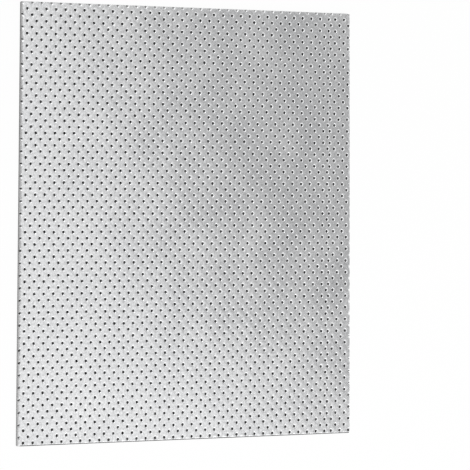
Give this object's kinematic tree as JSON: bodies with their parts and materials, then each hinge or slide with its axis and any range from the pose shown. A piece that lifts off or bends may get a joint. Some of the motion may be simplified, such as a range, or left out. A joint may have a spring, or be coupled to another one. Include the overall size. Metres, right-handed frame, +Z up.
{
  "type": "exhaust gasket sheet",
  "caption": "Flat, nearly square sheet of metal-faced gasket stock, pierced all over in staggered rows, from which exhaust flange gaskets are cut.",
  "frame": {"origin": "under the middle of the sheet, on the surface it lies on", "axes": "+Z up out of the pierced face, +Y up the face as the picture shows it, +X across it to the right"},
  "size_m": [0.204, 0.203, 0.002],
  "materials": {
    "metal_face": "satin"
  },
  "bodies": {
    "root": {"gasket_sheet": "metal_face"}
  },
  "joints": []
}
